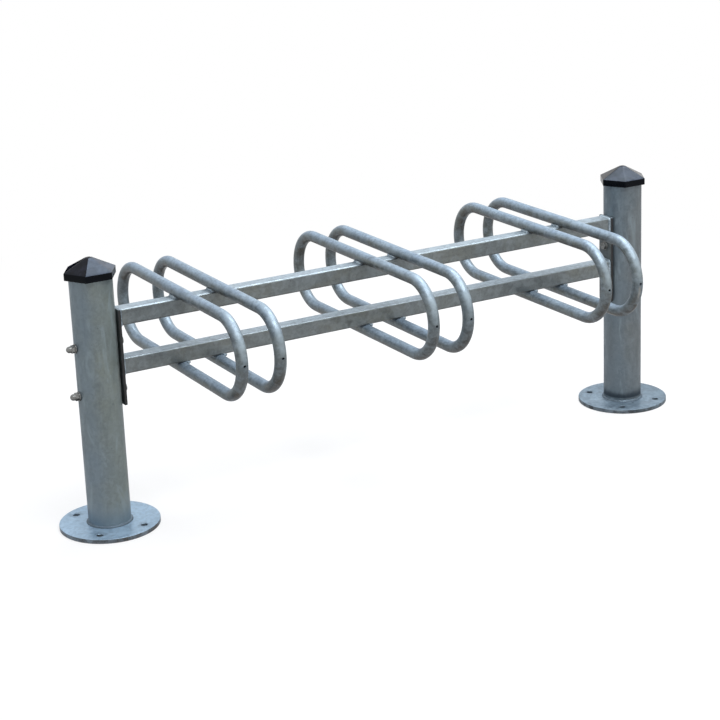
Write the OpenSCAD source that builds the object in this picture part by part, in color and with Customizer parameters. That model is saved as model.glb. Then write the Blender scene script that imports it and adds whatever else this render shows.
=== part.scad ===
// Double-sided bicycle rack: two round posts on round base flanges carry two square rails,
// and three pairs of closed tube hoops hold the wheels. Millimetres, +Z up, +X along the rails.

/* [Posts] */
// Distance between the two post axes
post_spacing = 1140; // [980:10:1600]
// Outside diameter of a post tube
post_od = 76.1; // [60:0.1:90]
// Wall thickness of a post tube
post_wall = 2.9; // [2:0.1:5]
// Height of the post tube's top end above the ground
post_top = 470; // [440:1:600]

/* [Base flanges] */
// Diameter of a base flange
flange_od = 180; // [170:1:240]
// Thickness of a base flange
flange_t = 8; // [5:0.5:15]
// Distance from an anchor hole's middle out to the flange's rim
anchor_inset = 20; // [12:0.5:22]
// Diameter of an anchor hole
anchor_hole_d = 12; // [8:0.5:16]
// Leg of the weld fillet around the foot of a post
foot_weld = 3.5; // [3:0.5:9]

/* [Caps] */
// Wall of the cap's skirt at the middle of each flat
cap_wall = 3.3; // [2:0.1:6]
// Height of the cap's straight skirt
cap_skirt_h = 13; // [11:0.5:25]
// Length of post that the skirt covers
cap_lap = 10; // [5:0.5:10]
// Height of the cap's six-sided roof
cap_roof_h = 23; // [10:0.5:40]
// Flat at the tip of the roof, across corners
cap_tip = 8; // [2:0.5:20]
// Length of the cap's sleeve inside the post
cap_sleeve_h = 22; // [10:1:40]
// Wall of the cap's sleeve
cap_sleeve_wall = 2; // [1:0.1:4]
// Clearance between the cap and the post, on the radius
cap_clear = 0.25; // [0.1:0.05:0.5]

/* [Rails] */
// Side of the square rail tube
rail_size = 30; // [25:1:34]
// Wall thickness of the rail tube
rail_wall = 2.6; // [1.5:0.1:3]
// Outside corner radius of the rail tube
rail_round = 3.5; // [3:0.5:5]
// Height of the upper rail's top face above the ground
rail_top = 396; // [380:1:415]
// Distance from the upper rail's top face down to the lower rail's
rail_drop = 89; // [75:1:105]

/* [End plates] */
// Width of an end plate
plate_w = 40; // [38:1:60]
// Thickness of an end plate
plate_t = 5; // [3:0.5:8]
// Height of an end plate above the upper rail's top face
plate_rise = 1.5; // [0.5:0.5:6]
// Length of an end plate below the lower rail
plate_drop = 55; // [40:1:80]
// Corner radius of an end plate
plate_round = 2; // [0.5:0.5:5]
// Leg of the weld around a rail's end
rail_weld = 3; // [2:0.5:4]

/* [Hoops] */
// Outside diameter of a hoop tube
hoop_od = 21.3; // [16:0.1:25]
// Wall thickness of a hoop tube
hoop_wall = 2.3; // [1.5:0.1:3]
// Distance from the rails' middle plane to a hoop's end, at the tube's centre
hoop_reach = 255; // [200:5:350]
// Distance between the two hoops of a pair, centre to centre
pair_gap = 72; // [55:1:90]
// Distance from one pair of hoops to the next
pair_pitch = 376; // [300:2:400]
// Diameter of the vent hole at a hoop's end
vent_d = 5; // [3:0.5:8]
// Radius of the weld beads between hoops and rails
hoop_weld_r = 4.5; // [3:0.5:6]

/* [Bolts] */
// Thread diameter of the through bolts
bolt_d = 8; // [6:0.5:10]
// Size across the flats of bolt heads and dome nuts
hex_flats = 13; // [12:0.5:17]
// Height of a bolt's hexagonal head
head_h = 5.3; // [4:0.1:7]
// Diameter of a washer
washer_od = 17; // [16:0.5:24]
// Thickness of a washer
washer_t = 1.6; // [1:0.1:3]
// Height of a dome nut's hexagon
nut_hex_h = 6.5; // [5:0.1:9]
// Diameter of a dome nut's dome
nut_dome_d = 12; // [11:0.5:12]
// Full height of a dome nut
nut_h = 15; // [13.5:0.1:18]
// Length of thread inside a dome nut
nut_grip = 10; // [8:0.5:10]
// Length of a short bolt past the nut inside the right post
bolt_tail = 2; // [1:0.5:5]
// Clearance between that nut and the bore of the post
nut_clear = 0.1; // [0.05:0.05:0.3]
// Gap around a bolt in its holes, on the radius
bolt_clear = 0.5; // [0.2:0.1:1]
// Gap between the bolt and its nut or washers, on the radius
thread_clear = 0.1; // [0.05:0.05:0.3]

/* [Hidden] */
$fn = 72;
// Overrun of every cut past the face that it opens
over = 1;
// Number of hoop pairs along the rails
pairs = 3;
post_r = post_od / 2;
post_bore_r = post_r - post_wall;
post_x = post_spacing / 2;
flange_r = flange_od / 2;
hoop_r = hoop_od / 2;
vent_r = vent_d / 2;
bolt_r = bolt_d / 2;
washer_r = washer_od / 2;
dome_r = nut_dome_d / 2;

// The anchor holes lie on one circle, at these shares of its radius along and across the rails
anchor_x_share = 0.6;
anchor_y_share = 0.8;
anchor_circle_r = flange_r - anchor_inset;

// Heights of the rails, the end plates and the bolts
lower_top = rail_top - rail_drop;
lower_bottom = lower_top - rail_size;
plate_top = rail_top + plate_rise;
plate_bottom = lower_bottom - plate_drop;
plate_h = plate_top - plate_bottom;
upper_bolt_z = (rail_top - rail_size + lower_top) / 2;
lower_bolt_z = (lower_bottom + plate_bottom) / 2;

// The plates stand against the posts, and the rails end on the plates
plate_x = post_r + plate_t;
rail_half = post_x - plate_x;

// A hoop's tube lies on the upper rail and under the lower one, and bends in full half circles
hoop_top_z = rail_top + hoop_r;
hoop_bottom_z = lower_bottom - hoop_r;
hoop_bend = (hoop_top_z - hoop_bottom_z) / 2;
hoop_z = (hoop_top_z + hoop_bottom_z) / 2;
hoop_straight = hoop_reach - hoop_bend;
// Bead length along a hoop, on the flat of a rail
bead_len = rail_size - 2 * rail_round;

// Place of a bead's middle out from the tube's middle, as a share of the tube's radius
bead_place_share = 0.6;

// Cap: corner radius of its hexagon, and heights
cap_r = (post_r + cap_clear + cap_wall) / cos(30);
cap_bottom = post_top - cap_lap;
cap_eaves = cap_bottom + cap_skirt_h;

// Length under the head of a left bolt: washer, plate, post, washer and nut
bolt_len = 2 * washer_t + plate_t + post_od + nut_grip;
// The right bolts end in plain nuts inside the post, which sit with two edges on its bore
bore_nut_x = sqrt(post_bore_r * post_bore_r - hex_flats * hex_flats / 4) - nut_clear;
short_bolt_len = washer_t + plate_x - bore_nut_x + nut_hex_h + bolt_tail;
hex_r = hex_flats / 2 / cos(30);
chamfer_r = hex_flats / 2;
// Depth of the chamfer on the corners of bolt heads and nuts
hex_chamfer = 0.8;

zinc = [0.52, 0.56, 0.60];
weld_zinc = [0.62, 0.66, 0.70];
steel = [0.45, 0.46, 0.48];
plastic = [0.08, 0.08, 0.09];

// Places its children at the left post (side -1) or, mirrored, at the right one (side 1)
module at_post(side) {
    if (side < 0) {
        translate([-post_x, 0, 0]) children();
    } else {
        mirror([1, 0, 0]) translate([-post_x, 0, 0]) children();
    }
}

// Square outline with round corners, all arcs exact
module rounded_rect(w, h, r) {
    square([w - 2 * r, h], center = true);
    square([w, h - 2 * r], center = true);
    for (x = [-1, 1], y = [-1, 1]) {
        translate([x * (w / 2 - r), y * (h / 2 - r)]) circle(r);
    }
}

module base_flange(side) {
    color(zinc) at_post(side) difference() {
        cylinder(r = flange_r, h = flange_t);
        for (x = [-1, 1], y = [-1, 1]) {
            translate([x * anchor_circle_r * anchor_x_share, y * anchor_circle_r * anchor_y_share, -over]) {
                cylinder(r = anchor_hole_d / 2, h = flange_t + 2 * over);
            }
        }
    }
}

// Ring-shaped fillet between the flange and the post
module foot_ring(side) {
    color(weld_zinc) at_post(side) translate([0, 0, flange_t]) rotate_extrude() {
        polygon([
            [post_r, 0],
            [post_r + foot_weld, 0],
            [post_r + foot_weld * 2 / 3, foot_weld / 2],
            [post_r + foot_weld / 3, foot_weld * 4 / 5],
            [post_r, foot_weld]
        ]);
    }
}

// Round hole through the post for each bolt, along X
module bolt_holes(from_x, to_x) {
    for (z = [upper_bolt_z, lower_bolt_z]) {
        translate([from_x, 0, z]) rotate([0, 90, 0]) {
            cylinder(r = bolt_r + bolt_clear, h = to_x - from_x);
        }
    }
}

module post(side) {
    color(zinc) at_post(side) difference() {
        translate([0, 0, flange_t]) cylinder(r = post_r, h = post_top - flange_t);
        translate([0, 0, flange_t - over]) cylinder(r = post_bore_r, h = post_top - flange_t + 2 * over);
        bolt_holes(side < 0 ? -post_r - over : 0, post_r + over);
    }
}

// Hexagonal cap: skirt over the post, roof, and a sleeve inside the tube
module cap(side) {
    color(plastic) at_post(side) {
        difference() {
            translate([0, 0, cap_bottom]) cylinder(r = cap_r, h = cap_skirt_h, $fn = 6);
            translate([0, 0, cap_bottom - over]) cylinder(r = post_r + cap_clear, h = cap_lap + over);
        }
        translate([0, 0, cap_eaves]) cylinder(r1 = cap_r, r2 = cap_tip / 2, h = cap_roof_h, $fn = 6);
        translate([0, 0, post_top - cap_sleeve_h]) difference() {
            cylinder(r = post_bore_r - cap_clear, h = cap_sleeve_h);
            translate([0, 0, -over]) cylinder(r = post_bore_r - cap_clear - cap_sleeve_wall, h = cap_sleeve_h + over);
        }
    }
}

// Flat bar upright against the post, drilled for the two bolts
module end_plate(side) {
    color(zinc) at_post(side) difference() {
        translate([post_r, 0, (plate_top + plate_bottom) / 2]) rotate([90, 0, 90]) {
            linear_extrude(plate_t) rounded_rect(plate_w, plate_h, plate_round);
        }
        bolt_holes(post_r - over, plate_x + over);
    }
}

// Solid outline of a rail, from x = -half to x = half, with its top face at top_z
module rail_block(half, top_z, inset) {
    translate([-half, 0, top_z - rail_size / 2]) rotate([90, 0, 90]) linear_extrude(2 * half) {
        rounded_rect(rail_size - 2 * inset, rail_size - 2 * inset, rail_round - inset);
    }
}

module rail(top_z) {
    color(zinc) difference() {
        rail_block(rail_half, top_z, 0);
        rail_block(rail_half + over, top_z, rail_wall);
    }
}

// Round bead between a rail's end and its plate, all the way round the rail
module rail_end_bead(top_z) {
    arm = rail_size / 2;
    difference() {
        translate([plate_x, 0, top_z - arm]) {
            for (s = [-1, 1]) {
                translate([0, s * arm, -arm]) cylinder(r = rail_weld, h = rail_size);
                translate([0, -arm, s * arm]) rotate([-90, 0, 0]) cylinder(r = rail_weld, h = rail_size);
                for (t = [-1, 1]) {
                    translate([0, s * arm, t * arm]) sphere(rail_weld);
                }
            }
        }
        translate([post_x, 0, 0]) rail_block(post_x, top_z, 0);
        translate([plate_x - 2 * rail_weld, -rail_size, top_z - 2 * rail_size]) {
            cube([2 * rail_weld, 2 * rail_size, 3 * rail_size]);
        }
        translate([plate_x - 2 * rail_weld, -rail_size, plate_top]) {
            cube([4 * rail_weld, 2 * rail_size, rail_size]);
        }
    }
}

module rail_welds(side) {
    color(weld_zinc) at_post(side) {
        rail_end_bead(rail_top);
        rail_end_bead(lower_top);
    }
}

// X of hoop number n, counted from 1 at the left
function hoop_x(n) = (floor((n - 1) / 2) - (pairs - 1) / 2) * pair_pitch + ((n - 1) % 2 - 0.5) * pair_gap;

module tube_ring() {
    difference() {
        circle(hoop_r);
        circle(hoop_r - hoop_wall);
    }
}

// Closed hoop in the plane x = 0: two straight runs and two half-circle ends
module hoop_loop() {
    for (turn = [0, 180]) {
        rotate([turn, 0, 0]) {
            translate([0, hoop_straight, 0]) rotate([90, 0, 90]) rotate([0, 0, -90]) {
                rotate_extrude(angle = 180) translate([hoop_bend, 0]) tube_ring();
            }
            translate([0, hoop_straight, hoop_bend]) rotate([90, 0, 0]) {
                linear_extrude(2 * hoop_straight) tube_ring();
            }
        }
    }
}

module hoop(n) {
    color(zinc) translate([hoop_x(n), 0, hoop_z]) difference() {
        hoop_loop();
        for (s = [-1, 1]) {
            translate([0, s * hoop_reach, 0]) rotate([s * -90, 0, 0]) cylinder(r = vent_r, h = hoop_r + over);
        }
    }
}

// Bead in the notch between a hoop's tube and a rail's flat face, on one side of the tube
module notch_bead(side, length) {
    rotate([90, 0, 0]) linear_extrude(length, center = true) difference() {
        translate([side * hoop_r * bead_place_share, 0]) circle(hoop_weld_r);
        translate([0, hoop_r]) circle(hoop_r);
        translate([-hoop_od, -hoop_od]) square([2 * hoop_od, hoop_od]);
    }
}

// A hoop is welded along both sides on the upper rail; under the lower rail one bead is a short tack
module hoop_welds(n) {
    color(weld_zinc) translate([hoop_x(n), 0, 0]) {
        for (side = [-1, 1]) {
            translate([0, 0, rail_top]) notch_bead(side, bead_len);
        }
        translate([0, 0, lower_bottom]) mirror([0, 0, 1]) {
            notch_bead(1, rail_size);
            notch_bead(-1, bead_len / 2);
        }
    }
}

// Hexagon with chamfered corners on its free end, from z = 0 to z = h
module hex_block(h) {
    intersection() {
        cylinder(r = hex_r, h = h, $fn = 6);
        union() {
            cylinder(r = hex_r + over, h = h - hex_chamfer);
            translate([0, 0, h - hex_chamfer]) cylinder(r1 = hex_r, r2 = chamfer_r, h = hex_chamfer);
        }
    }
}

// Bolt with its head on the plate's inner side: through the left post, or into the right one
module bolt(side, z) {
    color(steel) at_post(side) translate([plate_x + washer_t, 0, z]) {
        rotate([0, 90, 0]) hex_block(head_h);
        rotate([0, -90, 0]) cylinder(r = bolt_r, h = side < 0 ? bolt_len : short_bolt_len);
    }
}

// Dome nut on the outer side of the left post
module dome_nut(z) {
    color(steel) at_post(-1) translate([-post_r - washer_t, 0, z]) rotate([0, -90, 0]) difference() {
        union() {
            hex_block(nut_hex_h);
            cylinder(r = dome_r, h = nut_h - dome_r);
            translate([0, 0, nut_h - dome_r]) sphere(dome_r);
        }
        translate([0, 0, -over]) cylinder(r = bolt_r + thread_clear, h = nut_grip + thread_clear + over);
    }
}

// Plain nut inside the right post, on the end of a short bolt
module bore_nut(z) {
    color(steel) at_post(1) translate([bore_nut_x, 0, z]) rotate([0, -90, 0]) difference() {
        hex_block(nut_hex_h);
        translate([0, 0, -over]) cylinder(r = bolt_r + thread_clear, h = nut_hex_h + 2 * over);
    }
}

module washers(side, x) {
    color(steel) at_post(side) for (z = [upper_bolt_z, lower_bolt_z]) {
        translate([x, 0, z]) rotate([0, 90, 0]) difference() {
            cylinder(r = washer_r, h = washer_t);
            translate([0, 0, -over]) cylinder(r = bolt_r + thread_clear, h = washer_t + 2 * over);
        }
    }
}

module inner_washers(side) {
    washers(side, plate_x);
}

module outer_washers() {
    washers(-1, -post_r - washer_t);
}

base_flange(-1);  // left_base_flange
base_flange(1);  // right_base_flange
foot_ring(-1);  // left_foot_weld
foot_ring(1);  // right_foot_weld
post(-1);  // left_post
post(1);  // right_post
cap(-1);  // left_cap
cap(1);  // right_cap
end_plate(-1);  // left_end_plate
end_plate(1);  // right_end_plate
rail(rail_top);  // upper_rail
rail(lower_top);  // lower_rail
rail_welds(-1);  // left_rail_welds
rail_welds(1);  // right_rail_welds
hoop(1);  // hoop_1
hoop(2);  // hoop_2
hoop(3);  // hoop_3
hoop(4);  // hoop_4
hoop(5);  // hoop_5
hoop(6);  // hoop_6
hoop_welds(1);  // hoop_1_welds
hoop_welds(2);  // hoop_2_welds
hoop_welds(3);  // hoop_3_welds
hoop_welds(4);  // hoop_4_welds
hoop_welds(5);  // hoop_5_welds
hoop_welds(6);  // hoop_6_welds
bolt(-1, upper_bolt_z);  // left_upper_bolt
bolt(-1, lower_bolt_z);  // left_lower_bolt
bolt(1, upper_bolt_z);  // right_upper_bolt
bolt(1, lower_bolt_z);  // right_lower_bolt
dome_nut(upper_bolt_z);  // left_upper_dome_nut
dome_nut(lower_bolt_z);  // left_lower_dome_nut
bore_nut(upper_bolt_z);  // right_upper_bore_nut
bore_nut(lower_bolt_z);  // right_lower_bore_nut
inner_washers(-1);  // left_inner_washers
inner_washers(1);  // right_inner_washers
outer_washers();  // left_outer_washers
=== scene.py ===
import math

import bmesh
import bpy
import numpy as np
from mathutils import Matrix, Vector


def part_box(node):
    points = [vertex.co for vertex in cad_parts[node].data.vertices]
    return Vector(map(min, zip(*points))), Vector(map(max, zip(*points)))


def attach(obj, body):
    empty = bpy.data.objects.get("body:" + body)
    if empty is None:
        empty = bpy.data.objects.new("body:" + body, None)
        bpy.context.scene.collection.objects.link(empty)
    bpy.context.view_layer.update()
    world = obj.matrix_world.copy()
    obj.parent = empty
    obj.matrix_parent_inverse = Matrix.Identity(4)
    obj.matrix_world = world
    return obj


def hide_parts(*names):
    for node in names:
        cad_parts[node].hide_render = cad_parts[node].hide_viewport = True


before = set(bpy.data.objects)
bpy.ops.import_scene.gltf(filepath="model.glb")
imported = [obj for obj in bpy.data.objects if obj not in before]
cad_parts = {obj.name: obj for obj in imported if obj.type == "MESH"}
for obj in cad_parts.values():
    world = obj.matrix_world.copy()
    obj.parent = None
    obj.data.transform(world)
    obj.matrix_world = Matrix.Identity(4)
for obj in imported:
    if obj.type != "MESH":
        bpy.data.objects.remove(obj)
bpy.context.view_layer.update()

MM = 0.001
TAU = 2 * math.pi
rng = np.random.default_rng(20)

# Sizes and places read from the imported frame, in metres
low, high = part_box("left_base_flange")
POST_X = -(low.x + high.x) / 2
FLANGE_R = (high.x - low.x) / 2
FLANGE_T = high.z
low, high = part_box("left_post")
POST_R = (high.x - low.x) / 2
POST_TOP = high.z
low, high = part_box("left_end_plate")
PLATE_OUT = low.x
PLATE_IN = high.x
PLATE_HALF = high.y
PLATE_LOW = low.z
PLATE_TOP = high.z
low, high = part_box("upper_rail")
RAIL = high.z - low.z
UPPER_TOP = high.z
low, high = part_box("lower_rail")
LOWER_TOP = high.z
LOWER_LOW = low.z
HOOP_X = [sum(corner.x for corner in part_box(f"hoop_{n}")) / 2 for n in range(1, 7)]
UPPER_BOLT = sum(corner.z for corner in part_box("left_upper_bolt")) / 2
LOWER_BOLT = sum(corner.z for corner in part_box("left_lower_bolt")) / 2
BORE_NUT_X = -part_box("right_upper_bore_nut")[0].x

# Other sizes of the CAD part, as its source has them
RAIL_ROUND = 3.5 * MM
PLATE_ROUND = 2 * MM
HOOP_R = 10.65 * MM
ANCHOR_X = 42 * MM
ANCHOR_Y = 56 * MM
ANCHOR_HOLE_R = 6 * MM
CAP_LAP = 10 * MM
CAP_SKIRT = 13 * MM
CAP_TIP_R = 4 * MM
CAP_SEAT_R = 38.3 * MM
SLEEVE_R = 34.9 * MM
SLEEVE_BORE_R = 32.9 * MM
SLEEVE_DEPTH = 22 * MM
HEX_FLATS = 13 * MM
BOLT_R = 4 * MM
BOLT_HEAD = 5.3 * MM
BOLT_HOLE_R = 4.5 * MM
THREAD_R = 4.1 * MM
THREAD_MOUTH_R = 4.7 * MM
NUT_HEIGHT = 6.5 * MM
DOME_NUT_HEIGHT = 15 * MM
WASHER_R = 8.5 * MM
WASHER_T = 1.6 * MM

# The radius of a ring that stands for a point, and how finely round shapes and welds are divided
POINT_R = 0.01 * MM
WELD_STEP = 0.42 * MM
FLANGE_SIDES = 160
FASTENER_SIDES = 72
WASHER_SIDES = 64

# Angles in degrees above which an edge between two faces is drawn sharp
SHARP_STEEL = 32.0
SHARP_MOULDING = 40.0
SHARP_WELD = 60.0


class Tree:
    """The node tree of a material or of the world, with short calls for the nodes used here."""

    def __init__(self, owner, output, coordinates):
        self.owner = owner
        owner.use_nodes = True
        self.nt = owner.node_tree
        self.nt.nodes.clear()
        self.out = self.node(output)
        self.place = self.node("ShaderNodeTexCoord").outputs[coordinates]

    def node(self, kind, **props):
        n = self.nt.nodes.new(kind)
        for key, value in props.items():
            setattr(n, key, value)
        return n

    def put(self, socket, value):
        """Links the socket to a node's output, or sets it to a constant."""
        if isinstance(value, bpy.types.NodeSocket):
            self.nt.links.new(value, socket)
        else:
            socket.default_value = value

    def math(self, op, a, b=0.0, c=0.0):
        n = self.node("ShaderNodeMath", operation=op)
        for socket, value in zip(n.inputs, (a, b, c)):
            self.put(socket, value)
        return n.outputs[0]

    def times(self, a, b):
        return self.math("MULTIPLY", a, b)

    def minus(self, a, b):
        return self.math("SUBTRACT", a, b)

    def size(self, a):
        return self.math("ABSOLUTE", a)

    def stirred(self, value, noise, amount):
        """The value plus a noise, so that a border drawn along it wanders."""
        return self.math("MULTIPLY_ADD", noise, amount, value)

    def stretch(self, scale, move=(0, 0, 0)):
        n = self.node("ShaderNodeMapping")
        self.put(n.inputs["Vector"], self.place)
        n.inputs["Scale"].default_value = scale
        n.inputs["Location"].default_value = move
        return n.outputs[0]

    def noise(self, scale, detail=3.0, rough=0.55, distortion=0.0, vector=None):
        n = self.node("ShaderNodeTexNoise")
        self.put(n.inputs["Vector"], vector or self.place)
        n.inputs["Scale"].default_value = scale
        n.inputs["Detail"].default_value = detail
        n.inputs["Roughness"].default_value = rough
        n.inputs["Distortion"].default_value = distortion
        return n.outputs["Fac"]

    def cells(self, scale, smooth, vector):
        """Random grey per cell with soft borders, like the crystals of a zinc coat."""
        n = self.node("ShaderNodeTexVoronoi", feature="SMOOTH_F1")
        self.put(n.inputs["Vector"], vector)
        n.inputs["Scale"].default_value = scale
        n.inputs["Smoothness"].default_value = smooth
        s = self.node("ShaderNodeSeparateColor")
        self.put(s.inputs[0], n.outputs["Color"])
        return s.outputs[0]

    def warped(self, amount, scale):
        """The object's coordinates pushed about by a noise."""
        n = self.node("ShaderNodeTexNoise")
        self.put(n.inputs["Vector"], self.place)
        n.inputs["Scale"].default_value = scale
        n.inputs["Detail"].default_value = 2.0
        shift = self.node("ShaderNodeVectorMath", operation="MULTIPLY_ADD")
        self.put(shift.inputs[0], n.outputs["Color"])
        shift.inputs[1].default_value = (amount,) * 3
        self.put(shift.inputs[2], self.place)
        return shift.outputs[0]

    def span(self, value, low, high, to_low=0.0, to_high=1.0):
        """A smooth step of the value: to_low at low, to_high at high."""
        n = self.node("ShaderNodeMapRange", interpolation_type="SMOOTHSTEP")
        self.put(n.inputs["Value"], value)
        n.inputs["From Min"].default_value = low
        n.inputs["From Max"].default_value = high
        n.inputs["To Min"].default_value = to_low
        n.inputs["To Max"].default_value = to_high
        return n.outputs["Result"]

    def mix(self, fac, a, b):
        n = self.node("ShaderNodeMix", data_type="RGBA")
        self.put(n.inputs["Factor"], fac)
        self.put(n.inputs["A"], a)
        self.put(n.inputs["B"], b)
        return n.outputs["Result"]

    def axis(self, which):
        s = self.node("ShaderNodeSeparateXYZ")
        self.put(s.inputs[0], self.place)
        return s.outputs[which]

    def facing(self, which):
        """How far the surface looks along X, Y or Z, from -1 to 1."""
        s = self.node("ShaderNodeSeparateXYZ")
        self.put(s.inputs[0], self.node("ShaderNodeNewGeometry").outputs["Normal"])
        return s.outputs[which]

    def seen(self):
        """1 for rays from the camera, from mirrors and through glass, and 0 for bounced light."""
        path = self.node("ShaderNodeLightPath")
        indirect = self.math("MAXIMUM", path.outputs["Is Glossy Ray"], path.outputs["Is Transmission Ray"])
        return self.math("MAXIMUM", path.outputs["Is Camera Ray"], indirect)

    def bump(self, height, strength, distance):
        n = self.node("ShaderNodeBump")
        self.put(n.inputs["Height"], height)
        n.inputs["Strength"].default_value = strength
        n.inputs["Distance"].default_value = distance
        return n.outputs[0]

    def shader(self, colour, metallic, roughness, normal, specular, tint):
        n = self.node("ShaderNodeBsdfPrincipled")
        self.put(n.inputs["Base Color"], colour)
        self.put(n.inputs["Metallic"], metallic)
        self.put(n.inputs["Roughness"], roughness)
        self.put(n.inputs["Normal"], normal)
        self.put(n.inputs["Specular IOR Level"], specular)
        n.inputs["Specular Tint"].default_value = tint
        self.put(self.out.inputs["Surface"], n.outputs[0])
        return self.owner


def material_tree(name):
    return Tree(bpy.data.materials.new(name), "ShaderNodeOutputMaterial", "Object")


def srgb(r, g, b):
    """A colour given as 0 to 255 screen values, as the linear colour a shader takes."""
    linear = [((c / 255 + 0.055) / 1.055) ** 2.4 if c > 10 else c / 255 / 12.92 for c in (r, g, b)]
    return (*linear, 1.0)


def galvanised(name, cool, warm, dark, pale, top, under, runs, seed, streak, mottle, top_highlight=0.8, metallic=0.5,
               rough=(0.30, 0.52), painted_shade=0.75, rise=(0.25, 0.97), stain=0.35, marks=None):
    """Weathered hot-dip zinc: two greys in wide soft patches, crystals, runs along the part, and stains.

    Faces that look up are mixed towards the colour top, a painted highlight of the sky; faces that look
    down are mixed towards the colour under, a painted shade.
    runs scales the pattern of the runs along X, Y and Z. The function marks adds what one part alone has.
    """
    patch_scale = 9.0
    stain_scale = 38.0
    dent_scale = 55.0
    crystal_scale = 80.0
    speck_scale = 150.0
    small_crystal_scale = 210.0
    grain_scale = 420.0
    relief = 0.0007
    t = material_tree(name)
    push = t.warped(0.012, 30.0)
    patches = t.noise(patch_scale, 3.0, 0.55, 0.4, t.stretch((1, 1, 1), (seed, 0, 0)))
    along = t.stretch(runs, (seed, seed, seed))
    streaks = t.noise(1.0, 3.0, 0.5, 0.5, along)
    fine_streaks = t.noise(3.1, 2.0, 0.5, 0.2, along)
    crystals = t.cells(crystal_scale, 0.7, push)
    small = t.cells(small_crystal_scale, 0.5, push)
    stains = t.noise(stain_scale, 4.0, 0.65, 0.9, t.stretch((1, 1, 0.45), (0, seed, 3)))
    specks = t.noise(speck_scale, 2.0, 0.5)
    grain = t.noise(grain_scale, 3.0, 0.6)
    up = t.facing(2)
    colour = t.mix(t.span(patches, 0.38, 0.62), cool, warm)
    # Painted highlight on faces that look up (colour top) and painted shade on faces that look down (colour
    # under)
    colour = t.mix(t.span(up, rise[0], rise[1], 0.0, top_highlight), colour, top)
    colour = t.mix(t.span(up, 0.25, -0.65, 0.0, painted_shade), colour, under)
    colour = t.mix(t.span(streaks, 0.48, 0.74, 0.0, streak), colour, pale)
    colour = t.mix(t.span(fine_streaks, 0.50, 0.28, 0.0, streak * 0.6), colour, dark)
    colour = t.mix(t.span(crystals, 0.25, 0.80, 0.0, mottle), colour, pale)
    colour = t.mix(t.span(small, 0.62, 0.22, 0.0, mottle * 0.9), colour, dark)
    colour = t.mix(t.span(stains, 0.60, 0.74, 0.0, stain), colour, dark)
    colour = t.mix(t.span(specks, 0.69, 0.77, 0.0, 0.5), colour, dark)
    colour = t.mix(t.span(grain, 0.35, 0.7, 0.0, 0.12), colour, pale)
    if marks:
        colour = marks(t, colour)
    dull = t.math("MULTIPLY_ADD", crystals, 0.45, t.times(streaks, 0.55))
    roughness = t.span(dull, 0.25, 0.75, rough[0], rough[1])
    height = t.math("ADD", t.noise(dent_scale, 2.0, 0.5), t.times(grain, 0.16))
    height = t.math("MULTIPLY_ADD", small, 0.10, height)
    normal = t.bump(height, 0.55, relief)
    return t.shader(colour, metallic, roughness, normal, 0.35, (0.5, 0.52, 0.55, 1))


def two_sided(cool, warm, shadow_band, foot_light):
    """Marks of a post: a painted light tint, cooler on faces that look left and warmer on faces that look
    right; soft drips and spots.

    band and splash are the strengths of a painted shadow over the weld and of a painted pool of light low
    down, which lightens the shade there.
    """
    foot_light_heights = (0.080, 0.012)
    band_uneven = 0.012
    band_top = (0.031, 0.019)
    band_foot = (0.0135, 0.0170)

    def marks(t, colour):
        # Painted light: a warmer tint on faces that look right and a cooler one on faces that look left
        colour = t.mix(t.span(t.facing(0), -0.75, 0.55, 0.0, 0.4), colour, warm)
        colour = t.mix(t.span(t.facing(0), -0.25, -0.8, 0.0, 0.4), colour, cool)
        drips = t.noise(1.0, 4.0, 0.6, 1.2, t.stretch((38, 38, 11), (5, 2, 7)))
        colour = t.mix(t.span(drips, 0.52, 0.70, 0.0, 0.34), colour, srgb(146, 160, 166))
        colour = t.mix(t.span(drips, 0.46, 0.30, 0.0, 0.26), colour, srgb(88, 96, 98))
        spots = t.noise(26.0, 2.0, 0.4, 0.6, t.stretch((1, 1, 1), (3, 9, 2)))
        colour = t.mix(t.span(spots, 0.70, 0.78, 0.0, 0.4), colour, srgb(70, 76, 78))
        # Painted light: paler low down, set against the real shade near the foot
        height = t.stirred(t.axis(2), t.noise(60.0, 2.0), 0.004)
        colour = t.mix(t.span(height, *foot_light_heights, 0.0, foot_light), colour, srgb(130, 145, 156))
        # Painted shadow: a dark band on the post just over the foot weld
        height = t.stirred(t.minus(t.axis(2), band_uneven / 2), t.noise(34.0, 3.0, 0.6), band_uneven)
        painted_shade = t.times(t.span(height, *band_top), t.span(t.axis(2), *band_foot))
        return t.mix(t.times(painted_shade, shadow_band), colour, srgb(48, 56, 64))
    return marks


def painted_edge_shade(t, colour):
    """Marks of a flat bar: the edges that look along Y are darkened, a painted shade for the shadowed gap
    between plate and post.
    """
    side = t.span(t.size(t.facing(1)), 0.55, 0.9, 0.0, 0.9)
    return t.mix(side, colour, srgb(50, 48, 48))


def hoop_marks(t, colour):
    """Marks of a hoop: a painted highlight where it looks up and forwards, broken up by a noise, and a run
    below the last hoop's vent hole.
    """
    run_x = 0.4125
    run_half_width = (0.0034, 0.0008)
    run_top = (0.3345, 0.326)
    run_end = (0.297, 0.318)
    run_front = (-0.250, -0.260)
    # Painted highlight: pale where the tube looks up and forwards; worn is only a noise that breaks it up
    slant = t.minus(t.facing(2), t.facing(1))
    worn = t.span(t.noise(46.0, 3.0, 0.5, 0.8), 0.30, 0.62, 0.55, 1.0)
    colour = t.mix(t.times(t.span(slant, 0.85, 1.38, 0.0, 0.46), worn), colour, srgb(178, 191, 198))
    wavy = t.stirred(t.minus(t.axis(0), run_x), t.noise(90.0, 2.0), 0.004)
    thin = t.span(t.size(wavy), *run_half_width)
    low = t.times(t.span(t.axis(2), *run_top), t.span(t.axis(2), *run_end))
    run = t.times(t.times(thin, low), t.span(t.axis(1), *run_front))
    return t.mix(t.times(run, 0.45), colour, srgb(176, 170, 160))


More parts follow.
